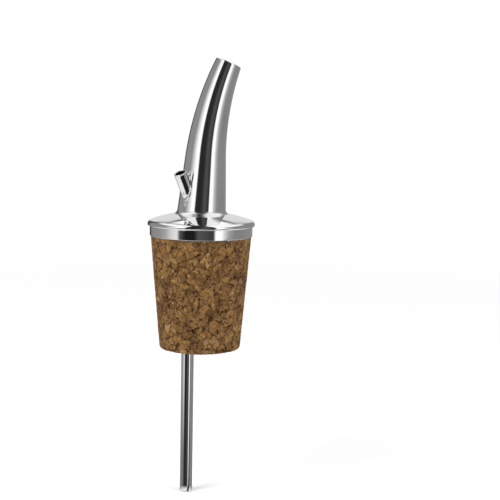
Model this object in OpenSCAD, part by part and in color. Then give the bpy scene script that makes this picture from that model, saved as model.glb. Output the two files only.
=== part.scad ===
// Free-flow bottle pourer: a leaning, tapered metal spout on a domed collar,
// a cork stopper gripped on a metal shank, and a thin breather tube.
// The origin is the centre of the collar's underside, where the cork begins.
// +Z is up through the spout, and the mouth leans towards +X.

/* [Spout] */
// Outside diameter of the spout at the collar
spout_base_d = 11.7; // [11.2:0.1:12.6]
// Outside diameter of the spout at its mouth
spout_tip_d = 6.3; // [5:0.1:8]
// Length of the straight cone that carries the vent
cone_len = 13; // [12:0.5:16]
// Length of the curved part, along its centre line
bend_len = 23.4; // [18:0.2:30]
// Lean of the straight cone, in degrees
base_lean = 3.5; // [0:0.5:6]
// Lean at the mouth, in degrees
tip_lean = 22.5; // [8:0.5:45]
// Thickness of the sheet metal
sheet = 0.4; // [0.3:0.05:0.45]

/* [Collar] */
// Diameter over the rim of the domed cap
cap_d = 25.7; // [24.5:0.1:28]
// Height of the domed cap above its rim
cap_rise = 3; // [1.8:0.1:3.4]
// Diameter of the collar's upright face
cup_d = 24.6; // [24.2:0.1:24.8]
// Height of the collar's upright face
cup_h = 2.45; // [2.2:0.05:4]

/* [Cork] */
// Diameter of the cork under the collar
cork_top_d = 24.1; // [22:0.1:24.2]
// Diameter of the cork at its lower end
cork_end_d = 19.4; // [17:0.1:21]
// Height of the cork
cork_h = 27.2; // [22:0.2:34]

/* [Breather tube] */
// Outside diameter of the breather tube
tube_d = 3; // [2.8:0.05:3]
// Bore of the breather tube
tube_bore = 2.4; // [2:0.05:2.5]
// Length of tube that hangs below the cork
tube_drop = 35; // [15:0.5:60]
// Lean of the vent end away from the spout, in degrees
vent_lean = 27; // [24:0.5:32]
// How far round from straight behind the mouth the vent stands, in degrees
vent_turn = 33; // [0:1:45]

/* [Hidden] */
$fn = 96;
eps = 0.01;
slip = 0.02;               // clearance between pieces that are pressed together

// Collar: a shallow cup under a dished cap with a crown arc and a rim arc
rim_r = 0.9;               // radius of the cap's rim arc
rim_drop = 0.38;           // the rim arc's centre stands this far over the cup
rim_z = cup_h + rim_drop;
cap_r = cap_d / 2;
cup_r = cup_d / 2;
rim_x = cap_r - rim_r;
crown_r = (rim_x * rim_x + cap_rise * cap_rise - rim_r * rim_r) / (2 * (cap_rise - rim_r));
crown_z = rim_z + cap_rise - crown_r;
spigot_h = 1.6;            // depth of the cap's inner lip inside the cup

// Spout and shank share one wall size at the collar
base_r = spout_base_d / 2;
tip_r = spout_tip_d / 2;
shank_bore_r = base_r - sheet;
spout_len = cone_len + bend_len;
seat_z = crown_z + sqrt(crown_r * crown_r - base_r * base_r);
fillet_r = 0.85;           // solder fillet round the spout's foot
lap = 0.3;                 // length by which the cone and the bend overlap
bend_slim = 0.03;          // the bend is drawn in by this, so that its skin laps inside the cone's
bend_steps = 16;
bend_sides = 44;

// Shank: its flange hangs under the cap, its lip turns out under the cork
flange_r = 8.4;
flange_z = crown_z + sqrt(pow(crown_r - sheet, 2) - flange_r * flange_r) - eps;
flange_solder_w = 1.8;     // how far the flange's solder runs outwards
lip_r = base_r + 0.9;
cork_edge_r = 0.6;         // rounding of the cork's lower edge

// Breather tube: straight up beside the shank's wall, then bent outwards
tube_r = tube_d / 2;
tube_x = shank_bore_r - tube_r - 0.05;
vent_bend_r = 8;           // radius of the bend in the tube's centre line
vent_bend_z = 7.2;         // height at which the bend starts
vent_len = 4.9;            // straight length beyond the bend
tube_lap = 0.05;           // the straights reach this far onto the bend
tube_neck = 0.04;          // the tube necks in by this where it bends
vent_bead = 0.3;           // width and height of the solder round the vent
tube_end_z = -cork_h - tube_drop;
tack_len = 3;              // solder tack that holds the tube to the shank
tack_w = 2.2;

chrome = "silver";
solder = "gainsboro";

// ---- outlines and centre lines ----

// Outside radius of the spout at a distance s along its centre line
function spout_r(s) = base_r + (tip_r - base_r) * s / spout_len;

// Lean of the centre line: constant along the cone, then growing evenly
function lean(s) = base_lean + (tip_lean - base_lean) * max(0, s - cone_len) / bend_len;

// A point on the centre line; the curved part is a circular arc
arc_r = bend_len / ((tip_lean - base_lean) * PI / 180);
function line_point(s) = s <= cone_len
    ? [s * sin(base_lean), seat_z + s * cos(base_lean)]
    : [cone_len * sin(base_lean) + arc_r * (cos(base_lean) - cos(lean(s))),
       seat_z + cone_len * cos(base_lean) + arc_r * (sin(lean(s)) - sin(base_lean))];

// One ring of points square to the centre line
function ring(s, r) = [for (i = [0 : bend_sides - 1])
    let (a = 360 * i / bend_sides, p = line_point(s))
    [p[0] + r * cos(a) * cos(lean(s)), r * sin(a), p[1] - r * cos(a) * sin(lean(s))]];

// Everything under the cap's curved surface, drawn in by an inset. The crown and rim arcs meet smoothly.
module cap_outline(inset) {
    meet_x = (crown_r - inset) * rim_x / (crown_r - rim_r);
    intersection() {
        translate([0, crown_z]) circle(crown_r - inset, $fn = 360);
        translate([0, cup_h]) square([meet_x, cap_rise + 1]);
    }
    intersection() {
        translate([rim_x, rim_z]) circle(rim_r - inset);
        translate([0, cup_h]) square([cap_r + 1, cap_rise]);
    }
}

// The solid ball whose top is the crown of the cap
module crown_ball() {
    translate([0, 0, crown_z]) sphere(crown_r, $fn = 360);
}

// The breather tube's path, as a solid of radius r reaching past both ends.
// The bend necks in a hair, and the straights lap onto it.
module tube_path(r, past = 0) {
    rotate([0, 0, 180 + vent_turn]) {
        translate([tube_x, 0, tube_end_z - past])
            cylinder(h = vent_bend_z + tube_lap - tube_end_z + past, r = r);
        translate([tube_x + vent_bend_r, 0, vent_bend_z])
            rotate([90, 0, 0])
                rotate([0, 0, 180 - vent_lean])
                    rotate_extrude(angle = vent_lean)
                        translate([vent_bend_r, 0]) circle(r - tube_neck);
        translate([tube_x + vent_bend_r * (1 - cos(vent_lean)), 0,
                   vent_bend_z + vent_bend_r * sin(vent_lean)])
            rotate([0, vent_lean, 0]) translate([0, 0, -tube_lap])
                cylinder(h = vent_len + tube_lap + past, r = r);
    }
}

// The straight cone as a solid, drawn in by an inset
module cone_solid(inset = 0, below = 2) {
    translate([0, 0, seat_z]) rotate([0, base_lean, 0]) translate([0, 0, -below])
        cylinder(h = cone_len + below, r1 = spout_r(-below) - inset,
                 r2 = spout_r(cone_len) - inset);
}

// The curved part: a closed skin of rings, up the outside and down the inside
module spout_bend() {
    first = cone_len - lap;
    span = spout_len - first;
    stations = [for (k = [0 : bend_steps]) first + span * k / bend_steps];
    outer = [for (s = stations) ring(s, spout_r(s) - bend_slim)];
    inner = [for (k = [bend_steps : -1 : 0])
        ring(stations[k], spout_r(stations[k]) - bend_slim - sheet)];
    rings = concat(outer, inner);
    n = bend_sides;
    count = len(rings);
    points = [for (r = rings) each r];
    faces = [for (k = [0 : count - 1], i = [0 : n - 1], half = [0, 1])
        let (a = k * n, b = ((k + 1) % count) * n, j = (i + 1) % n)
        half == 0 ? [a + i, b + i, a + j] : [a + j, b + i, b + j]];
    polyhedron(points = points, faces = faces, convexity = 6);
}

// ---- pieces ----

module spout_tube() {
    color(chrome) {
        difference() {
            cone_solid();
            cone_solid(inset = sheet, below = 3);
            crown_ball();
            tube_path(tube_r + slip);
            translate([0, 0, seat_z]) rotate([0, base_lean, 0])
                translate([0, 0, cone_len - eps]) cylinder(h = 1, r = base_r);
        }
        spout_bend();
    }
}

module collar_cap() {
    color(chrome) rotate_extrude() difference() {
        union() {
            difference() {
                cap_outline(0);
                cap_outline(sheet);
            }
            translate([cup_r - 3 * sheet, cup_h]) square([cap_r - cup_r + 2.5 * sheet, sheet]);
            translate([cup_r - 2 * sheet - 2 * slip, cup_h - spigot_h]) square([sheet, spigot_h + sheet]);
        }
        square([shank_bore_r, 20]);
    }
}

module collar_cup() {
    color(chrome) rotate_extrude() {
        translate([base_r + slip, 0]) square([cup_r - base_r - slip, sheet]);
        translate([cup_r - sheet, 0]) square([sheet, cup_h - slip / 2]);
    }
}

module pour_shank() {
    color(chrome) rotate_extrude() {
        translate([shank_bore_r, -cork_h - sheet]) square([sheet, flange_z + cork_h + sheet]);
        translate([shank_bore_r, flange_z - sheet]) square([flange_r - shank_bore_r, sheet]);
        translate([shank_bore_r, -cork_h - sheet]) square([lip_r - shank_bore_r, sheet - slip]);
    }
}

module cork_stopper() {
    top_r = cork_top_d / 2;
    end_r = cork_end_d / 2;
    hole_r = base_r + slip;
    taper = atan((top_r - end_r) / cork_h);
    edge_z = -cork_h + cork_edge_r;
    edge_x = end_r + cork_edge_r * tan(taper) - cork_edge_r / cos(taper);
    edge = [for (a = [-taper : -(90 - taper) / 6 : -90])
        [edge_x + cork_edge_r * cos(a), edge_z + cork_edge_r * sin(a)]];
    color("peru") rotate_extrude()
        polygon(concat([[hole_r, -slip], [top_r, -slip]], edge, [[hole_r, -cork_h]]));
}

module breather_tube() {
    color(chrome) difference() {
        tube_path(tube_r);
        tube_path(tube_bore / 2, past = 1);
    }
}

// Fillet of solder round the spout's foot
module spout_solder() {
    color(solder) difference() {
        rotate_extrude() difference() {
            translate([base_r - sheet / 2, seat_z - 1]) square([fillet_r + sheet / 2, 1 + fillet_r]);
            translate([base_r + fillet_r, seat_z + fillet_r]) circle(fillet_r);
        }
        crown_ball();
        cone_solid();
        tube_path(tube_r + slip);
    }
}

// Bead of solder where the breather tube leaves the spout's wall
module vent_solder() {
    color(solder) difference() {
        intersection() {
            tube_path(tube_r + vent_bead);
            cone_solid(inset = -vent_bead);
            translate([-10, -10, vent_bend_z]) cube([20, 20, 12]);
        }
        cone_solid();
        tube_path(tube_r);
    }
}

// Solder in the wedge-shaped gap between the shank's flange and the cap
module flange_solder() {
    color(solder) rotate_extrude() intersection() {
        translate([shank_bore_r, flange_z]) square([flange_solder_w, 2]);
        translate([0, crown_z]) circle(crown_r - sheet - eps, $fn = 360);
    }
}

// Tack of solder between the breather tube and the shank's inner wall
module tube_tack() {
    color(solder) difference() {
        intersection() {
            translate([0, 0, -cork_h + tack_len]) cylinder(h = tack_len, r = shank_bore_r);
            rotate([0, 0, 180 + vent_turn]) translate([tube_x, -tack_w / 2, -cork_h])
                cube([2 * tube_r, tack_w, 3 * tack_len]);
        }
        tube_path(tube_r);
    }
}

spout_tube();
collar_cap();
collar_cup();
pour_shank();
cork_stopper();
breather_tube();
spout_solder();
vent_solder();
flange_solder();
tube_tack();
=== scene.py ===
"""The looks of a free-flow bottle pourer: polished metal, agglomerated cork and a pale studio.

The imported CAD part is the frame. Six metal pieces are rebuilt as fine smooth meshes over the CAD
design's own formulas, and the cork as a dense skin with real cracks and pits. Three small solder
joints keep their CAD meshes. Pieces are worked out in millimetres and become metres when a mesh
is made. The studio is in metres.
"""

import math

import bpy
import numpy as np
from mathutils import Matrix, Vector, kdtree, noise


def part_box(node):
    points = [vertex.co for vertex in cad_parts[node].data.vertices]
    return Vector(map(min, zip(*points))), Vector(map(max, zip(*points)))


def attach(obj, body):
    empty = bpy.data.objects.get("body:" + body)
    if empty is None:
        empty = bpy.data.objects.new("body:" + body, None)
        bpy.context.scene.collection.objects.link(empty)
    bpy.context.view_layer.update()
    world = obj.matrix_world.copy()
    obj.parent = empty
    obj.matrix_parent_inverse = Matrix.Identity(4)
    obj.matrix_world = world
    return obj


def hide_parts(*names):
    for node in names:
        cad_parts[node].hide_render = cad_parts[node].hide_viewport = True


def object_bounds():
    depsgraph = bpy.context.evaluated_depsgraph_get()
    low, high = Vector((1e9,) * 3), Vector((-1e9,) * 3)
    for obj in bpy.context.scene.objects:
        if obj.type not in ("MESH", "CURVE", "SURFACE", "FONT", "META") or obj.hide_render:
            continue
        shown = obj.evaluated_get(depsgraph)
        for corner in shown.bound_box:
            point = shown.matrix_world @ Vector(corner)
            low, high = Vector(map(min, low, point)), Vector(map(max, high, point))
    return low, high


MM = 0.001
SEED = 7
rng = np.random.default_rng(SEED)
noise.seed_set(SEED)  # without this, noise_vector is seeded from the clock and differs each run

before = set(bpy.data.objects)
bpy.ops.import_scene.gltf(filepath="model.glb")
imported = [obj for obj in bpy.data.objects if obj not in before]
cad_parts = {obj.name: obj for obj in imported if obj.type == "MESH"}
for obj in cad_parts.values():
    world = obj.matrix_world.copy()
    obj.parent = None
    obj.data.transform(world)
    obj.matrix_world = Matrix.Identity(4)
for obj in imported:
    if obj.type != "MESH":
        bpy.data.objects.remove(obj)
bpy.context.view_layer.update()
cad_low, cad_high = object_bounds()


def cad_mm(node):
    """The lowest and highest corner of a CAD node, in millimetres."""
    low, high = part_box(node)
    return np.array(low) / MM, np.array(high) / MM


# ---- the design's sizes, as in the CAD source: lengths in millimetres, angles in radians ----

SHEET = 0.4  # thickness of the sheet metal
SLIP = 0.02  # clearance between pieces that are pressed together

# the spout: a straight cone, then an even bend
BASE_R = 5.85
TIP_R = 3.15
CONE_LEN = 13.0
BEND_LEN = 23.4
BASE_LEAN = math.radians(3.5)
TIP_LEAN = math.radians(22.5)
SPOUT_LEN = CONE_LEN + BEND_LEN
BORE_R = BASE_R - SHEET
HOLE_R = BASE_R + SLIP  # the hole for the shank in the cork and the cup
FILLET_R = 0.85  # the solder fillet round the spout's foot

# the collar: a shallow cup under a dished cap with a crown arc and a rim arc
CUP_R = 12.3
CUP_H = 2.45
RIM_R = 0.9
RIM_DROP = 0.38
CAP_RISE = 3.0
CAP_R = cad_mm("collar_cap")[1][0]
RIM_X = CAP_R - RIM_R
RIM_Z = CUP_H + RIM_DROP
CROWN_R = (RIM_X**2 + CAP_RISE**2 - RIM_R**2) / (2 * (CAP_RISE - RIM_R))
CROWN_Z = RIM_Z + CAP_RISE - CROWN_R
SPIGOT_LOW = cad_mm("collar_cap")[0][2]

# the shank: its flange hangs under the cap, and its lip turns out under the cork
FLANGE_R = 8.4
FLANGE_Z = cad_mm("pour_shank")[1][2]
LIP_R = BASE_R + 0.9
SHANK_LOW = cad_mm("pour_shank")[0][2]

# the cork
CORK_LOW, CORK_HIGH = cad_mm("cork_stopper")
CORK_TOP_R = CORK_HIGH[0]
CORK_END_R = 9.7
CORK_EDGE_R = 0.6

# the breather tube: straight up beside the shank's wall, then bent outwards
TUBE_R = 1.5
TUBE_BORE_R = 1.2
TUBE_GAP = 0.05  # between the tube and the shank's wall
TUBE_X = BORE_R - TUBE_R - TUBE_GAP
TUBE_LOW = cad_mm("breather_tube")[0][2]
VENT_TURN = math.radians(180 + 33)
VENT_LEAN = math.radians(27)
VENT_BEND_R = 8.0
VENT_BEND_Z = 7.2
VENT_LEN = 4.9
TUBE_STRAIGHT = VENT_BEND_Z - TUBE_LOW
TUBE_BEND = VENT_BEND_R * VENT_LEAN
TUBE_LEN = TUBE_STRAIGHT + TUBE_BEND + VENT_LEN


# ---- mesh helpers ----

SHARP_DEG = 35  # an edge that turns by more than this is shown sharp


def closed_grid(name, rows, sharp_deg=SHARP_DEG):
    """A closed skin through rings of points. Each ring closes, and the last ring joins the first."""
    rows = np.asarray(rows, float)
    count, sides = rows.shape[:2]
    k, i = np.meshgrid(np.arange(count), np.arange(sides), indexing="ij")
    k2, i2 = (k + 1) % count, (i + 1) % sides
    quads = np.stack([k * sides + i, k * sides + i2, k2 * sides + i2, k2 * sides + i], -1)
    mesh = bpy.data.meshes.new(name)
    mesh.from_pydata((rows.reshape(-1, 3) * MM).tolist(), [], quads.reshape(-1, 4).tolist())
    mesh.validate()
    mesh.polygons.foreach_set("use_smooth", [True] * len(mesh.polygons))
    mesh.set_sharp_from_angle(angle=math.radians(sharp_deg))
    piece = bpy.data.objects.new(name, mesh)
    bpy.context.scene.collection.objects.link(piece)
    return piece


def arc(x, z, r, start, end, steps):
    """Points on an arc in a profile, between two angles in degrees."""
    a = np.radians(np.linspace(start, end, steps + 1))
    return [(x + r * math.cos(t), z + r * math.sin(t)) for t in a]


def soften(points, radius, steps=4, straight=-0.9):
    """The same closed outline with its corners rounded. A point where it runs nearly straight on stays."""
    out = []
    for i, p in enumerate(points):
        p = np.array(p)
        before = np.array(points[i - 1]) - p
        after = np.array(points[(i + 1) % len(points)]) - p
        a, b = np.linalg.norm(before), np.linalg.norm(after)
        if np.dot(before, after) / (a * b) < straight:
            out.append(tuple(p))
            continue
        p0 = p + before / a * min(radius, a * 0.4)
        p1 = p + after / b * min(radius, b * 0.4)
        for t in np.linspace(0, 1, steps + 1):
            out.append(tuple((1 - t) ** 2 * p0 + 2 * t * (1 - t) * p + t**2 * p1))
    return out


def lathe(name, profile, sides):
    """A profile of (radius, height) points turned round the Z axis."""
    profile = np.array(profile)
    across, up = profile[:, 0], profile[:, 1]
    area = np.sum(across * np.roll(up, -1) - np.roll(across, -1) * up)
    if area < 0:
        profile = profile[::-1]
    a = np.linspace(0, 2 * math.pi, sides, endpoint=False)
    rows = [np.stack([r * np.cos(a), r * np.sin(a), np.full(sides, z)], 1) for r, z in profile]
    return closed_grid(name, rows)


def crown_height(r):
    """Height of the crown's surface at a radius."""
    return CROWN_Z + math.sqrt(CROWN_R**2 - r**2)


def place(piece, node, slot, material):
    """Puts a finished piece in the place of its CAD node."""
    piece.data.materials.clear()
    piece.data.materials.append(material)
    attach(piece, "root")
    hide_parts(node)


# ---- the spout: a cone, then an evenly curved taper with a rounded lip ----

BEND_ARC_R = BEND_LEN / (TIP_LEAN - BASE_LEAN)
SEAT_Z = crown_height(BASE_R)
LIP_ROUND = SHEET / 2  # the lip at the mouth is a half circle across the sheet


def spout_r(s):
    """The spout's outside radius at distance s along its centre line."""
    return BASE_R + (TIP_R - BASE_R) * s / SPOUT_LEN


def spout_frame(s):
    """Centre and lean of the spout's centre line at each distance s."""
    s = np.asarray(s, float)
    lean = BASE_LEAN + np.maximum(0, s - CONE_LEN) / BEND_ARC_R
    on_cone = np.minimum(s, CONE_LEN)
    x = on_cone * math.sin(BASE_LEAN) + BEND_ARC_R * (math.cos(BASE_LEAN) - np.cos(lean))
    z = SEAT_Z + on_cone * math.cos(BASE_LEAN) + BEND_ARC_R * (np.sin(lean) - math.sin(BASE_LEAN))
    return x, z, lean


def spout_points(s, a, r):
    """Points at distances s along, angles a round and radii r out from the centre line."""
    x, z, lean = spout_frame(s)
    return np.stack([x + r * np.cos(a) * np.cos(lean), r * np.sin(a), z - r * np.cos(a) * np.sin(lean)], -1)


def foot_distance(a, inset, reach=3.0, halvings=40):
    """The distance along the spout at which its wall meets the crown, for each angle."""
    low, high = np.full(len(a), -reach), np.full(len(a), reach)
    for _ in range(halvings):
        mid = (low + high) / 2
        p = spout_points(mid, a, spout_r(mid) - inset)
        inside = np.linalg.norm(p - np.array([0, 0, CROWN_Z]), axis=1) < CROWN_R
        low, high = np.where(inside, mid, low), np.where(inside, high, mid)
    return (low + high) / 2


def spout_skin(sides=160, steps=120, lip_steps=12):
    """Rings up the outside from the crown, over the lip and down the inside."""
    a = np.linspace(0, 2 * math.pi, sides, endpoint=False)
    end = SPOUT_LEN - LIP_ROUND
    rows = []
    foot = foot_distance(a, 0)
    for t in np.linspace(0, 1, steps + 1):
        s = foot + (end - foot) * t
        rows.append(spout_points(s, a, spout_r(s)))
    for t in np.linspace(0, math.pi, lip_steps + 1)[1:-1]:
        s = np.full(sides, end + LIP_ROUND * math.sin(t))
        rows.append(spout_points(s, a, spout_r(end) - LIP_ROUND + LIP_ROUND * math.cos(t)))
    foot = foot_distance(a, SHEET)
    for t in np.linspace(1, 0, steps + 1):
        s = foot + (end - foot) * t
        rows.append(spout_points(s, a, spout_r(s) - SHEET))
    return rows


# ---- the breather tube: straight, then bent out through the spout's wall ----


def tube_line(s):
    """Centre (across, up) and lean of the tube's centre line at distance s from its lower end."""
    turn = min(max((s - TUBE_STRAIGHT) / VENT_BEND_R, 0.0), VENT_LEAN)
    past = max(s - TUBE_STRAIGHT - TUBE_BEND, 0.0)
    across = TUBE_X + VENT_BEND_R * (1 - math.cos(turn)) + past * math.sin(VENT_LEAN)
    up = TUBE_LOW + min(s, TUBE_STRAIGHT) + VENT_BEND_R * math.sin(turn) + past * math.cos(VENT_LEAN)
    return across, up, turn


def tube_ring(s, r, sides, past=0.0):
    """A ring of radius r round the tube's centre line at distance s, pushed on along it by past."""
    across, up, lean = tube_line(s)
    across, up = across + past * math.sin(lean), up + past * math.cos(lean)
    a = np.linspace(0, 2 * math.pi, sides, endpoint=False)
    x, y = across + r * np.cos(a) * math.cos(lean), r * np.sin(a)
    z = up - r * np.cos(a) * math.sin(lean)
    c, t = math.cos(VENT_TURN), math.sin(VENT_TURN)
    return np.stack([x * c - y * t, x * t + y * c, z], 1)


def tube_stations(step):
    """Distances along the tube: far apart on the straight, close together on the bend."""
    bend_end = TUBE_STRAIGHT + TUBE_BEND
    low = np.linspace(0, TUBE_STRAIGHT, 40)
    bend = np.linspace(TUBE_STRAIGHT, bend_end, int(TUBE_BEND / step) + 2)[1:]
    top = np.linspace(bend_end, TUBE_LEN, 12)[1:]
    return np.concatenate([low, bend, top])


def tube_skin(sides=64):
    """Outside up, a rounded end, the bore down, and a rounded end again."""
    lip = (TUBE_R - TUBE_BORE_R) / 2
    mid = TUBE_R - lip
    stations = tube_stations(0.15)
    stations[0], stations[-1] = lip, TUBE_LEN - lip
    turn = np.linspace(0, math.pi, 9)[1:-1]
    rows = [tube_ring(s, TUBE_R, sides) for s in stations]
    rows += [tube_ring(TUBE_LEN - lip, mid + lip * math.cos(t), sides, lip * math.sin(t)) for t in turn]
    rows += [tube_ring(s, TUBE_BORE_R, sides) for s in stations[::-1]]
    rows += [tube_ring(lip, mid - lip * math.cos(t), sides, -lip * math.sin(t)) for t in turn]
    return rows


def solid_tube(name, r, past, below=4, sides=96, point_r=0.01):
    """A solid along the tube's upper end, as a cutter. A hair-thin channel down its axis closes the skin."""
    upper = [s for s in tube_stations(0.25) if s > TUBE_STRAIGHT - below] + [TUBE_LEN + past]
    rings = [tube_ring(s, r, sides) for s in upper]
    foot = [tube_ring(upper[0], point_r, sides)]
    tip = [tube_ring(upper[-1], point_r, sides)]
    return closed_grid(name, foot + rings + tip)


def cut(piece, cutter):
    """Takes the cutter out of the piece, and removes the cutter."""
    tool = piece.modifiers.new("cut", "BOOLEAN")
    tool.operation, tool.solver, tool.object = "DIFFERENCE", "EXACT", cutter
    done = bpy.data.meshes.new_from_object(piece.evaluated_get(bpy.context.evaluated_depsgraph_get()))
    piece.modifiers.clear()
    piece.data = done
    bpy.data.objects.remove(cutter)


# ---- exact shading on the spout ----


def corner_data(mesh):
    """For each face corner of a mesh: its normal, its place in millimetres and its face's normal."""
    count = len(mesh.loops)
    normals = np.empty(count * 3, np.float32)
    mesh.corner_normals.foreach_get("vector", normals)
    vertex = np.empty(count, np.int32)
    mesh.loops.foreach_get("vertex_index", vertex)
    places = np.empty(len(mesh.vertices) * 3, np.float32)
    mesh.vertices.foreach_get("co", places)
    face = np.empty((count, 3))
    for poly in mesh.polygons:
        face[poly.loop_start : poly.loop_start + poly.loop_total] = poly.normal
    return normals.reshape(-1, 3), places.reshape(-1, 3)[vertex].astype(float) / MM, face


def distance_along(p):
    """Distance along the spout's centre line: a projection on the cone, an angle on the bend."""
    dx, dz = p[:, 0], p[:, 2] - SEAT_Z
    s = dx * math.sin(BASE_LEAN) + dz * math.cos(BASE_LEAN)
    cx = CONE_LEN * math.sin(BASE_LEAN) + BEND_ARC_R * math.cos(BASE_LEAN)
    cz = CONE_LEN * math.cos(BASE_LEAN) - BEND_ARC_R * math.sin(BASE_LEAN)
    angle = np.arctan2(dz - cz, cx - dx)
    return np.where(s > CONE_LEN, CONE_LEN + (angle - BASE_LEAN) * BEND_ARC_R, s)


def spout_normals(piece, near=0.02, facing=0.9):
    """Gives the spout's inner and outer walls their exact normals, so that mirror bands run true."""
    mesh = piece.data
    mesh.set_sharp_from_angle(angle=math.radians(SHARP_DEG))
    normals, p, face = corner_data(mesh)
    s = distance_along(p)
    x, z, lean = spout_frame(s)
    away = np.stack([p[:, 0] - x, p[:, 1], p[:, 2] - z], 1)
    dist = np.linalg.norm(away, axis=1)
    radial = away / np.maximum(dist, 1e-6)[:, None]
    along = np.stack([np.sin(lean), np.zeros(len(s)), np.cos(lean)], 1)
    taper = math.atan((BASE_R - TIP_R) / SPOUT_LEN)
    wall = math.cos(taper) * radial + math.sin(taper) * along
    side = np.sum(face * wall, axis=1)
    below_lip = s < SPOUT_LEN - LIP_ROUND - 0.01
    outer = (np.abs(dist - spout_r(s)) < near) & (side > facing) & below_lip
    inner = (np.abs(dist - spout_r(s) + SHEET) < near) & (side < -facing) & below_lip
    normals[outer] = wall[outer]
    normals[inner] = -wall[inner]
    mesh.normals_split_custom_set(normals.tolist())


# ---- the turned pieces, and the fillet at the spout's foot ----


def cap_profile():
    """The cap's outline: crown and rim outside, the lip that enters the cup, and the same inside."""
    meet = math.degrees(math.atan2(RIM_Z - CROWN_Z, RIM_X))
    low = -math.degrees(math.asin(RIM_DROP / RIM_R))
    inner_r = RIM_R - SHEET
    high = math.degrees(math.asin((SHEET - RIM_DROP) / inner_r))
    span = math.degrees(math.asin(BORE_R / CROWN_R))
    span_in = math.degrees(math.asin(BORE_R / (CROWN_R - SHEET)))
    outside = arc(0, CROWN_Z, CROWN_R, 90 - span, meet, 48)
    outside += arc(RIM_X, RIM_Z, RIM_R, meet, low, 28)[1:]
    spigot_r = CUP_R - 2 * SHEET - 2 * SLIP
    under = [
        (spigot_r + SHEET, CUP_H),
        (spigot_r + SHEET, SPIGOT_LOW),
        (spigot_r, SPIGOT_LOW),
        (spigot_r, CUP_H),
        (CUP_R - 3 * SHEET, CUP_H),
        (CUP_R - 3 * SHEET, CUP_H + SHEET),
    ]
    inside = arc(RIM_X, RIM_Z, inner_r, high, meet, 12)
    inside += arc(0, CROWN_Z, CROWN_R - SHEET, meet, 90 - span_in, 24)[1:]
    return soften(outside + under + inside, radius=0.08)


def cup_profile():
    """The cup's outline. Extra points near the ends of the upright face keep its shading straight."""
    wall = [(CUP_R, z) for z in (0, 0.3, 0.34, CUP_H - 0.3, CUP_H - 0.26)]
    top = CUP_H - SLIP / 2
    rest = [(CUP_R, top), (CUP_R - SHEET, top), (CUP_R - SHEET, SHEET), (HOLE_R, SHEET), (HOLE_R, 0)]
    return soften(wall + rest, radius=0.1)


def shank_profile():
    """The shank's outline: the lip under the cork, the tube and the flange under the cap."""
    lip_top = SHANK_LOW + SHEET - SLIP
    lip = [(BORE_R, SHANK_LOW), (LIP_R, SHANK_LOW), (LIP_R, lip_top), (BASE_R, lip_top)]
    flange = [
        (BASE_R, FLANGE_Z - SHEET),
        (FLANGE_R, FLANGE_Z - SHEET),
        (FLANGE_R, FLANGE_Z),
        (BORE_R, FLANGE_Z),
    ]
    return soften(lip + flange, radius=0.12)


def foot_solder(sides=256, steps=12, lumps=2.2, uneven=0.10, sunk=0.02, depth=0.06):
    """A slightly uneven fillet between the crown and the leaning wall, closed inside the wall."""
    a = np.linspace(0, 2 * math.pi, sides, endpoint=False)
    wobble = np.array([noise.noise(Vector((lumps * math.cos(t), lumps * math.sin(t), 4.0))) for t in a])
    size = FILLET_R * (1 + uneven * wobble)
    foot = foot_distance(a, 0)
    rows = []
    for t in np.linspace(0, 1, steps + 1):
        turn = math.pi / 2 * t
        rise, out = size * (1 - math.cos(turn)), size * (1 - math.sin(turn))
        s = foot + rise
        p = spout_points(s, a, spout_r(s) + out)
        if t == 0:
            crown = np.array([crown_height(math.hypot(x, y)) for x, y, _ in p])
            float_off = p[:, 2] - crown + sunk
        p[:, 2] -= (1 - t) ** 2 * float_off
        rows.append(p)
    for back in (0.9, -0.05):
        s = foot + size * back
        rows.append(spout_points(s, a, spout_r(s) - depth))
    return rows[::-1]


# ---- the cork: granules pressed together, with open seams and pits; lengths in millimetres ----

CORK_SIDES = 470
GRAIN = 1.7  # mean size of a granule
JITTER = 0.62  # how far a granule's seed strays from its grid place, as a share of GRAIN
HEART_R = 4.5  # no seed is needed inside this radius, where the cork has its bore
OPEN_SEAM_W = 0.18  # half the width of a crack
HAIR_SEAM_W = 0.10  # half the width of the fine line round every granule
PIT_COUNT = 330

# the relief: how far each feature lifts or sinks the surface
GRANULE_LIFT = 0.045
FINE_LIFT = 0.018
HIGHEST = 0.03  # no point rises further than this above the even surface
OPEN_SEAM_DEPTH = 0.16
HAIR_SEAM_DEPTH = 0.03
PIT_DEPTH = 0.30


def cork_profile(side_rows=158, edge_steps=6, under_rows=20, bore_rows=7, top_rows=5):
    """(radius, height, share of displacement) down the side, round the edge, under and up the bore."""
    top_z = CORK_HIGH[2]
    taper = math.atan((CORK_TOP_R - CORK_END_R) / (top_z - CORK_LOW[2]))
    edge_z = CORK_LOW[2] + CORK_EDGE_R
    edge_x = CORK_END_R + CORK_EDGE_R * math.tan(taper) - CORK_EDGE_R / math.cos(taper)
    side_end = (edge_x + CORK_EDGE_R * math.cos(-taper), edge_z + CORK_EDGE_R * math.sin(-taper))
    rows = []
    for t in np.linspace(0, 1, side_rows):
        r = CORK_TOP_R + (side_end[0] - CORK_TOP_R) * t
        rows.append((r, top_z + (side_end[1] - top_z) * t, min(1.0, t * 40)))
    edge = arc(edge_x, edge_z, CORK_EDGE_R, -math.degrees(taper), -90, edge_steps)[1:]
    rows += [(r, z, 1.0) for r, z in edge]
    for t in np.linspace(0, 1, under_rows + 1)[1:]:
        rows.append((edge_x + (HOLE_R - edge_x) * t, CORK_LOW[2], max(0.0, 1 - t**4)))
    for t in np.linspace(0, 1, bore_rows + 1)[1:]:
        rows.append((HOLE_R, CORK_LOW[2] + (top_z - CORK_LOW[2]) * t, 0.0))
    for t in np.linspace(0, 1, top_rows + 1)[1:-1]:
        rows.append((HOLE_R + (CORK_TOP_R - HOLE_R) * t, top_z, 0.0))
    return rows


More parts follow.
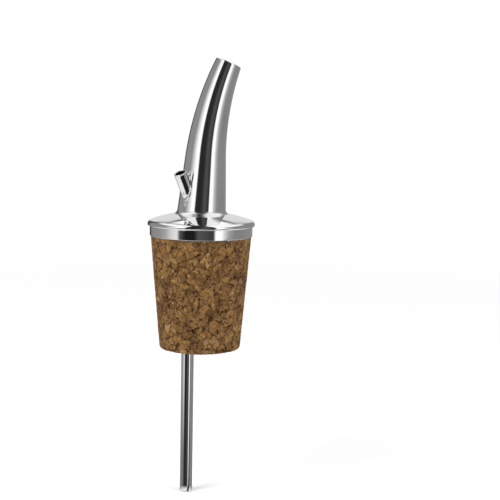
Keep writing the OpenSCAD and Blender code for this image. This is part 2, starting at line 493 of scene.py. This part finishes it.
def cork_surface():
    """The even surface before any relief: its points, outward normals and shares of displacement."""
    rows = cork_profile()
    turn = np.linspace(0, 2 * math.pi, CORK_SIDES, endpoint=False)
    rings = [np.stack([r * np.cos(turn), r * np.sin(turn), np.full(CORK_SIDES, z)], 1) for r, z, _ in rows]
    share = np.repeat([w for _, _, w in rows], CORK_SIDES)
    profile = np.array([(r, z) for r, z, _ in rows])
    tangent = np.roll(profile, -1, 0) - np.roll(profile, 1, 0)
    outward = np.stack([-tangent[:, 1], tangent[:, 0]], 1)
    outward /= np.maximum(np.linalg.norm(outward, axis=1), 1e-9)[:, None]
    n_r, n_z = np.repeat(outward[:, 0], CORK_SIDES), np.repeat(outward[:, 1], CORK_SIDES)
    turns = np.tile(turn, len(rows))
    normals = np.stack([n_r * np.cos(turns), n_r * np.sin(turns), n_z], 1)
    return np.array(rings).reshape(-1, 3), normals, share


def smooth_step(x):
    x = np.clip(x, 0, 1)
    return x * x * (3 - 2 * x)


def search_tree(points):
    tree = kdtree.KDTree(len(points))
    for i, p in enumerate(points):
        tree.insert(p, i)
    tree.balance()
    return tree


def granule_seeds(points):
    """Jittered seeds through the cork's shell, one for each granule."""
    low, high = points.min(0) - GRAIN, points.max(0) + GRAIN
    axes = [np.arange(start, stop, GRAIN) for start, stop in zip(low, high)]
    seeds = np.stack(np.meshgrid(*axes, indexing="ij"), -1).reshape(-1, 3)
    seeds = seeds + rng.uniform(-JITTER, JITTER, seeds.shape) * GRAIN
    radius = np.hypot(seeds[:, 0], seeds[:, 1])
    return seeds[(radius > HEART_R) & (radius < CORK_TOP_R + 2 * GRAIN)]


def find_granules(points, seeds):
    """For each point: its granule, its distance from the nearest seam, and where seams stand open."""
    tree = search_tree(seeds)
    total = len(points)
    cell, seam, stray = np.zeros(total, int), np.zeros(total), np.zeros(total)
    for i in range(total):
        p = Vector(points[i])
        warp = noise.noise_vector(p * 0.75) * 0.55 + noise.noise_vector(p * 2.6) * 0.16
        (c0, i0, d0), (c1, _, d1) = tree.find_n(p + warp, 2)
        cell[i] = i0
        seam[i] = (d1 * d1 - d0 * d0) / (2 * max((c1 - c0).length, 1e-6))
        stray[i] = noise.noise(p * 0.9 + Vector((9, 3, 5)))
    return cell, seam, stray


def dig_pits(points, share):
    """Short hollows, darkened with painted shade, many of them long and narrow, set at random on the shown
    surface.
    """
    pit = np.zeros(len(points))
    shown = np.flatnonzero(share > 0.5)
    tree = search_tree(points[shown])
    for _ in range(PIT_COUNT):
        centre = points[shown[rng.integers(len(shown))]]
        length, width = rng.uniform(0.25, 0.95), rng.uniform(0.10, 0.24)
        direction = rng.normal(size=3)
        direction /= np.linalg.norm(direction)
        for co, j, _distance in tree.find_range(centre, length):
            offset = np.array(co) - centre
            along = float(offset @ direction)
            across = np.linalg.norm(offset - along * direction)
            q = (along / length) ** 2 + (across / width) ** 2
            if q < 1:
                pit[shown[j]] = max(pit[shown[j]], 1 - q)
    return smooth_step(pit * 1.6)


def cork_piece():
    """The cork's skin, with three values at each point for its material: tone, seam and pit. The seam is a
    dark joint line round each granule with painted shade in the open cracks, and the pit is painted shade in
    the hollows.
    """
    points, normals, share = cork_surface()
    seeds = granule_seeds(points)
    tone = rng.uniform(0, 1, len(seeds))
    lift = rng.uniform(-1, 1, len(seeds))
    cell, seam, stray = find_granules(points, seeds)
    pit = dig_pits(points, share)
    open_seam = smooth_step(1 - seam / OPEN_SEAM_W) * smooth_step((stray + 0.16) * 2.6)
    hair_seam = smooth_step(1 - seam / HAIR_SEAM_W)
    fine = np.array([noise.noise(Vector(p) * 3.3) for p in points])
    relief = GRANULE_LIFT * lift[cell] * smooth_step(seam / 0.25) + FINE_LIFT * fine
    relief -= OPEN_SEAM_DEPTH * open_seam + HAIR_SEAM_DEPTH * hair_seam + PIT_DEPTH * pit
    moved = points + normals * (np.minimum(relief, HIGHEST) * share)[:, None]
    # the rows go in last first, so that the faces point outwards
    piece = closed_grid("cork_stopper_skin", moved.reshape(-1, CORK_SIDES, 3)[::-1], sharp_deg=60)
    # dark joint lines round every granule, and painted shade in the open cracks
    joint_lines_and_crack_shade = np.clip(open_seam + 0.45 * hair_seam, 0, 1)
    for name, values in (("tone", tone[cell]), ("seam", joint_lines_and_crack_shade), ("pit", pit)):
        layer = piece.data.attributes.new(name, "FLOAT", "POINT")
        flipped = values.reshape(-1, CORK_SIDES)[::-1].reshape(-1)
        layer.data.foreach_set("value", flipped.astype(np.float32))
    return piece


# ---- materials; noise scales are per metre ----


def grey(level):
    return (level, level, level, 1)


class Nodes:
    """A short way to add and join shader nodes."""

    def __init__(self, tree):
        tree.nodes.clear()
        self.tree = tree

    def add(self, kind, **settings):
        node = self.tree.nodes.new(kind)
        for key, value in settings.items():
            setattr(node, key, value)
        return node

    def join(self, a, b):
        self.tree.links.new(a, b)

    def feed(self, value, socket):
        """Joins a socket's output, or sets a plain value."""
        if isinstance(value, bpy.types.NodeSocket):
            self.join(value, socket)
        else:
            socket.default_value = value

    def math(self, operation, a, b=None, c=None):
        node = self.add("ShaderNodeMath", operation=operation)
        for value, socket in zip((a, b, c), node.inputs):
            if value is not None:
                self.feed(value, socket)
        return node.outputs[0]

    def mix(self, factor, a, b, blend="MIX"):
        node = self.add("ShaderNodeMix", data_type="RGBA", blend_type=blend)
        for value, index in ((factor, 0), (a, 6), (b, 7)):
            self.feed(value, node.inputs[index])
        return node.outputs[2]

    def noise(self, place, scale, detail=3.0, rough=0.5):
        node = self.add("ShaderNodeTexNoise")
        self.join(place, node.inputs["Vector"])
        node.inputs["Scale"].default_value = scale
        node.inputs["Detail"].default_value = detail
        node.inputs["Roughness"].default_value = rough
        return node.outputs["Fac"]

    def ramp(self, value, stops):
        """Colours, or plain brightnesses, at positions from 0 to 1."""
        node = self.add("ShaderNodeValToRGB")
        points = node.color_ramp.elements
        while len(points) < len(stops):
            points.new(0.5)
        for point, (position, colour) in zip(points, stops):
            point.position = position
            point.color = (*colour, 1) if isinstance(colour, tuple) else grey(colour)
        self.feed(value, node.inputs["Fac"])
        return node.outputs["Color"]

    def span(self, value, low, high, out_low=0.0, out_high=1.0):
        """The value's place between low and high, held at both ends and mapped to the outputs."""
        node = self.add("ShaderNodeMapRange")
        for index, given in enumerate((value, low, high, out_low, out_high)):
            self.feed(given, node.inputs[index])
        return node.outputs[0]

    def bump(self, height, strength, distance, surface):
        node = self.add("ShaderNodeBump")
        node.inputs["Strength"].default_value = strength
        node.inputs["Distance"].default_value = distance
        self.join(height, node.inputs["Height"])
        self.join(node.outputs["Normal"], surface.inputs["Normal"])


def new_material(name):
    """An empty principled material, with its nodes, its surface and the object's coordinates."""
    material = bpy.data.materials.new(name)
    material.use_nodes = True
    nodes = Nodes(material.node_tree)
    surface = nodes.add("ShaderNodeBsdfPrincipled")
    out = nodes.add("ShaderNodeOutputMaterial")
    nodes.join(surface.outputs["BSDF"], out.inputs["Surface"])
    place = nodes.add("ShaderNodeTexCoord").outputs["Object"]
    return material, nodes, surface, place


def metal(name, tint, rough, haze, scratches, dent):
    """Polished metal: faint haze and smudges, hairline scratches and a slightly uneven face."""
    material, nodes, surface, place = new_material(name)
    surface.inputs["Metallic"].default_value = 1.0
    stretch = nodes.add("ShaderNodeMapping")
    stretch.inputs["Scale"].default_value = scratches
    nodes.join(place, stretch.inputs["Vector"])
    hair = nodes.noise(stretch.outputs["Vector"], 1.0, 2.0)
    smudge = nodes.noise(place, 160.0, 4.0, 0.6)
    grime = nodes.ramp(smudge, [(0.35, tuple(0.93 * c for c in tint)), (0.65, tint)])
    nodes.join(grime, surface.inputs["Base Color"])
    cloudy = nodes.span(smudge, 0.4, 0.7, rough, rough + haze)
    streaky = nodes.span(hair, 0.62, 0.72, 0.0, 0.05)
    nodes.join(nodes.math("ADD", cloudy, streaky), surface.inputs["Roughness"])
    wave = nodes.noise(place, 90.0, 1.0)
    height = nodes.math("ADD", nodes.math("MULTIPLY", wave, dent), nodes.math("MULTIPLY", hair, 0.02))
    nodes.bump(height, 0.25, 0.0001, surface)
    return material


def cork_colour(nodes, place, cells):
    """A tone for each granule, mottled and patchy, with pale flecks, dark specks, seams and pits. The mottle
    is darkest in the hollows of the bump's cells, partly painted shade; the seams carry painted shade in
    their open cracks, and the pits are painted shade.
    """

    def layer(name):
        return nodes.add("ShaderNodeAttribute", attribute_name=name).outputs["Fac"]

    tones = [
        (0.0, (0.104, 0.054, 0.019)),
        (0.12, (0.128, 0.067, 0.024)),
        (0.30, (0.154, 0.083, 0.030)),
        (0.50, (0.173, 0.094, 0.032)),
        (0.66, (0.192, 0.103, 0.033)),
        (0.78, (0.166, 0.097, 0.030)),
        (0.90, (0.209, 0.119, 0.045)),
        (1.0, (0.251, 0.151, 0.063)),
    ]
    mottle_and_hollow_shade = [(0.30, (0.40, 0.35, 0.30)), (0.50, (1.0, 0.99, 0.98)), (0.72, (1.44, 1.39, 1.28))]
    patches = [(0.36, (0.74, 0.70, 0.66)), (0.62, (1.16, 1.13, 1.08))]
    colour = nodes.ramp(layer("tone"), tones)
    # the cell noise also makes the bump, so this mottle is darkest in the bump's hollows: the cork's own
    # mottling, partly painted shade
    colour = nodes.mix(1.0, colour, nodes.ramp(cells, mottle_and_hollow_shade), "MULTIPLY")
    colour = nodes.mix(1.0, colour, nodes.ramp(nodes.noise(place, 260.0, 3.0), patches), "MULTIPLY")
    flecks = nodes.span(nodes.noise(place, 900.0, 2.0), 0.66, 0.72)
    specks = nodes.span(nodes.noise(place, 1150.0, 3.0), 0.34, 0.28)
    marks = [
        (flecks, 0.7, (0.36, 0.25, 0.13, 1)),
        (specks, 0.8, (0.040, 0.017, 0.006, 1)),
        # seams: dark joint lines, with painted shade in the open cracks
        (layer("seam"), 0.92, (0.026, 0.010, 0.003, 1)),
        # pits: near-black painted shade in the hollows
        (layer("pit"), 0.9, (0.016, 0.006, 0.002, 1)),
    ]
    for where, strength, shade in marks:
        colour = nodes.mix(nodes.math("MULTIPLY", where, strength), colour, shade)
    return colour


def cork_material():
    """Dull, finely cellular cork."""
    material, nodes, surface, place = new_material("agglomerated_cork")
    # the cells drive the bump, the roughness and, through the mottle, painted shade in the hollows
    cells = nodes.noise(place, 1500.0, 4.0, 0.6)
    nodes.join(cork_colour(nodes, place, cells), surface.inputs["Base Color"])
    nodes.join(nodes.span(cells, 0.3, 0.7, 0.92, 0.72), surface.inputs["Roughness"])
    surface.inputs["Specular IOR Level"].default_value = 0.22
    nodes.bump(cells, 0.55, 0.00012, surface)
    return material


# ---- build and place the pieces ----

STEEL_TINT = (0.92, 0.92, 0.925)
DRAWN_TINT = (0.90, 0.90, 0.905)
POLISHED = metal("polished_steel", STEEL_TINT, rough=0.035, haze=0.035, scratches=(900, 900, 60), dent=0.5)
DRAWN = metal("drawn_tube", DRAWN_TINT, rough=0.04, haze=0.03, scratches=(1600, 1600, 40), dent=0.4)
SOLDER = metal("solder", STEEL_TINT, rough=0.20, haze=0.12, scratches=(500, 500, 500), dent=2.0)
CORK = cork_material()

spout = closed_grid("spout_tube_skin", spout_skin()[::-1])
cut(spout, solid_tube("vent_cutter", TUBE_R + SLIP, past=1.0))
spout_normals(spout)
place(spout, "spout_tube", "polished_steel", POLISHED)
place(lathe("collar_cap_skin", cap_profile(), 320), "collar_cap", "polished_steel", POLISHED)
place(lathe("collar_cup_skin", cup_profile(), 320), "collar_cup", "polished_steel", POLISHED)
place(lathe("pour_shank_skin", shank_profile(), 160), "pour_shank", "polished_steel", POLISHED)
place(closed_grid("breather_tube_skin", tube_skin()[::-1]), "breather_tube", "polished_steel", DRAWN)
place(closed_grid("spout_solder_skin", foot_solder()), "spout_solder", "solder", SOLDER)
place(cork_piece(), "cork_stopper", "agglomerated_cork", CORK)
for node in ("vent_solder", "flange_solder", "tube_tack"):
    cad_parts[node].data.materials.clear()
    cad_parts[node].data.materials.append(SOLDER)


# ---- studio: a pale floor, soft light and an open set that the camera does not see ----

CAMERA_AZIMUTH = math.radians(-10)
PALE = grey(1.0)


def camera_directions(nodes):
    """A ray's sideways part, its azimuth in radians and its elevation in degrees.

    Azimuth 0 points from the object to the camera, and it grows to the camera's right.
    """
    look = nodes.add("ShaderNodeTexCoord").outputs["Generated"]
    turned = nodes.add("ShaderNodeVectorRotate", rotation_type="Z_AXIS")
    nodes.join(look, turned.inputs["Vector"])
    turned.inputs["Angle"].default_value = -CAMERA_AZIMUTH
    split = nodes.add("ShaderNodeSeparateXYZ")
    nodes.join(turned.outputs["Vector"], split.inputs["Vector"])
    x, y, z = split.outputs
    azimuth = nodes.math("ARCTAN2", x, nodes.math("MULTIPLY", y, -1.0))
    elevation = nodes.math("MULTIPLY", nodes.math("ARCSINE", z), 180 / math.pi)
    return x, azimuth, elevation


def set_walls(nodes, azimuth, elevation):
    """The set's walls: brightness at azimuths in degrees, in three tiers of elevation.

    Bright panels stand 33 to 60 degrees to each side of the camera, with darkness between them and
    grey walls beyond. In the lowest tier only the right panel is left.
    """
    around = nodes.math("ADD", nodes.math("MULTIPLY", azimuth, 0.5 / math.pi), 0.5)

    def tier(stops):
        return nodes.ramp(around, [((deg + 180) / 360, value) for deg, value in stops])

    high = tier(
        [
            (-180, 0.75), (-170, 0.75), (-166, 0.07), (-146, 0.07), (-138, 0.27), (-84, 0.28), (-62, 0.80),
            (-50, 1.15), (-37, 1.15), (-32, 0.025), (-10, 0.022), (0, 0.040), (8, 0.080), (16, 0.075),
            (27, 0.035), (31, 0.050), (35, 1.15), (48, 1.15), (58, 0.60), (74, 0.28), (150, 0.245),
            (166, 0.30), (172, 0.75), (180, 0.75),
        ]
    )
    low = tier(
        [
            (-180, 0.02), (-154, 0.02), (-148, 0.24), (-104, 0.30), (-85, 0.42), (-72, 0.66), (-60, 0.82),
            (-55, 0.78), (-49, 0.10), (-40, 0.035), (-34, 0.012), (-16, 0.012), (-12, 0.035), (-6, 0.090),
            (10, 0.070), (24, 0.045), (28, 0.060), (33, 1.10), (46, 1.10), (56, 0.62), (66, 0.37),
            (80, 0.25), (100, 0.24), (180, 0.30),
        ]
    )
    lowest = tier(
        [
            (-180, 0.25), (-110, 0.24), (-70, 0.17), (-54, 0.15), (-46, 0.03), (-20, 0.02), (10, 0.06),
            (28, 0.03), (33, 1.10), (44, 1.10), (54, 0.40), (70, 0.22), (180, 0.25),
        ]
    )
    walls = nodes.mix(nodes.span(elevation, -4, 2), low, high)
    return nodes.mix(nodes.span(elevation, -13, -17), walls, lowest)


def add_ceiling(nodes, walls, x, turn, elevation):
    """A white ceiling, higher in front of the object, with a dark boom that runs front to back."""
    edge = nodes.span(turn, math.radians(32), math.radians(36), 72.0, 34.0)
    above = nodes.span(nodes.math("SUBTRACT", elevation, edge), 0, 8)
    boom = nodes.span(nodes.math("ABSOLUTE", nodes.math("ADD", x, 0.07)), 0.20, 0.16)
    ceiling = nodes.mix(boom, grey(1.05), grey(0.03))
    return nodes.mix(above, walls, ceiling)


def add_sweep(nodes, around, turn, elevation):
    """A bright sweep straight behind the object, with a dark line about 33 degrees up."""
    sweep = nodes.ramp(
        nodes.span(elevation, -20, 40),
        [(0.0, 0.72), (0.80, 0.76), (0.845, 0.55), (0.865, 0.10), (0.895, 0.10), (0.93, 1.1), (1.0, 1.1)],
    )
    behind = nodes.span(turn, math.radians(166), math.radians(172))
    behind = nodes.math("MULTIPLY", behind, nodes.span(elevation, 70, 62))
    return nodes.mix(behind, around, sweep)


def add_ground(nodes, around, azimuth, turn, elevation, slope=0.48, depth=46.0):
    """Pale ground, and a dark strip low in front. The strip climbs by slope degrees for each degree round."""
    ground = nodes.mix(nodes.span(elevation, -20, -26), around, grey(0.90))
    slant = nodes.math("MULTIPLY_ADD", azimuth, -slope * 180 / math.pi, depth)
    off_slant = nodes.math("ABSOLUTE", nodes.math("ADD", elevation, slant))
    in_front = nodes.span(turn, math.radians(66), math.radians(60))
    strip = nodes.math("MULTIPLY", nodes.span(off_slant, 9.5, 7.5), in_front)
    return nodes.mix(strip, ground, grey(0.015))


def build_world():
    """Pale to the camera. The metal reflects the set, and matt surfaces are lit by a softer version."""
    world = bpy.data.worlds.new("studio")
    bpy.context.scene.world = world
    world.use_nodes = True
    nodes = Nodes(world.node_tree)
    x, azimuth, elevation = camera_directions(nodes)
    turn = nodes.math("ABSOLUTE", azimuth)
    around = set_walls(nodes, azimuth, elevation)
    around = add_ceiling(nodes, around, x, turn, elevation)
    around = add_sweep(nodes, around, turn, elevation)
    around = add_ground(nodes, around, azimuth, turn, elevation)
    path = nodes.add("ShaderNodeLightPath")
    soft = nodes.mix(0.6, around, (0.80, 0.80, 0.82, 1))
    lit = nodes.mix(path.outputs["Is Diffuse Ray"], around, soft)
    seen = nodes.mix(path.outputs["Is Camera Ray"], lit, PALE)
    shade = nodes.add("ShaderNodeBackground")
    out = nodes.add("ShaderNodeOutputWorld")
    nodes.join(seen, shade.inputs["Color"])
    nodes.join(shade.outputs["Background"], out.inputs["Surface"])


def blend_shaders(nodes, factor, first, second):
    mixed = nodes.add("ShaderNodeMixShader")
    nodes.join(factor, mixed.inputs[0])
    nodes.join(first.outputs[0], mixed.inputs[1])
    nodes.join(second.outputs[0], mixed.inputs[2])
    return mixed


def build_floor(size=8.0, gap=0.0001, fade_from=0.12, fade_to=0.45):
    """A pale floor that fades into the pale surround away from the object, and is clear from below."""
    bpy.ops.mesh.primitive_plane_add(size=size, location=(0, 0, cad_low[2] - gap))
    floor = bpy.context.object
    floor.name = "floor"
    floor.visible_glossy = False
    material = bpy.data.materials.new("pale_floor")
    material.use_nodes = True
    nodes = Nodes(material.node_tree)
    geometry = nodes.add("ShaderNodeNewGeometry")
    length = nodes.add("ShaderNodeVectorMath", operation="LENGTH")
    nodes.join(geometry.outputs["Position"], length.inputs[0])
    far = nodes.span(length.outputs["Value"], fade_from, fade_to)
    matte = nodes.add("ShaderNodeBsdfDiffuse")
    matte.inputs["Color"].default_value = grey(0.90)
    glow = nodes.add("ShaderNodeEmission")
    glow.inputs["Color"].default_value = PALE
    clear = nodes.add("ShaderNodeBsdfTransparent")
    both = blend_shaders(nodes, far, matte, glow)
    sided = blend_shaders(nodes, geometry.outputs["Backfacing"], both, clear)
    out = nodes.add("ShaderNodeOutputMaterial")
    nodes.join(sided.outputs[0], out.inputs["Surface"])
    floor.data.materials.append(material)


def soft_light(name, azimuth, elevation, distance, size, power):
    """A square area light aimed at the collar, unseen by the metal."""
    data = bpy.data.lights.new(name, "AREA")
    data.size, data.energy = size, power
    light = bpy.data.objects.new(name, data)
    a, e = math.radians(azimuth) + CAMERA_AZIMUTH, math.radians(elevation)
    back = Vector((math.sin(a) * math.cos(e), -math.cos(a) * math.cos(e), math.sin(e)))
    light.location = back * distance
    light.rotation_euler = (-back).to_track_quat("-Z", "Y").to_euler()
    light.visible_glossy = False
    bpy.context.scene.collection.objects.link(light)


def build_camera(lens=84.2, distance=0.279, height=0.0308, pitch_deg=-6.98, yaw_deg=2.42, roll_deg=1.1):
    """The view: a long lens a little above the collar, looking slightly down, with a slight roll."""
    data = bpy.data.cameras.new("camera")
    data.lens = lens
    data.sensor_width = 36.0
    data.clip_start, data.clip_end = 0.01, 50
    camera = bpy.data.objects.new("camera", data)
    pitch, yaw, roll = math.radians(pitch_deg), math.radians(yaw_deg), math.radians(roll_deg)
    back = Vector((math.sin(CAMERA_AZIMUTH), -math.cos(CAMERA_AZIMUTH), 0))
    camera.location = back * distance + Vector((0, 0, height))
    turn = Matrix.Rotation(CAMERA_AZIMUTH - yaw, 4, "Z") @ Matrix.Rotation(math.pi / 2 + pitch, 4, "X")
    camera.rotation_euler = (turn @ Matrix.Rotation(roll, 4, "Z")).to_euler()
    bpy.context.scene.collection.objects.link(camera)
    bpy.context.scene.camera = camera


build_world()
build_floor()
soft_light("key", azimuth=-55, elevation=35, distance=0.8, size=0.5, power=5.0)
soft_light("fill", azimuth=60, elevation=25, distance=0.9, size=0.6, power=4.0)
build_camera()
bpy.context.scene.view_settings.view_transform = "Standard"

bpy.context.view_layer.update()
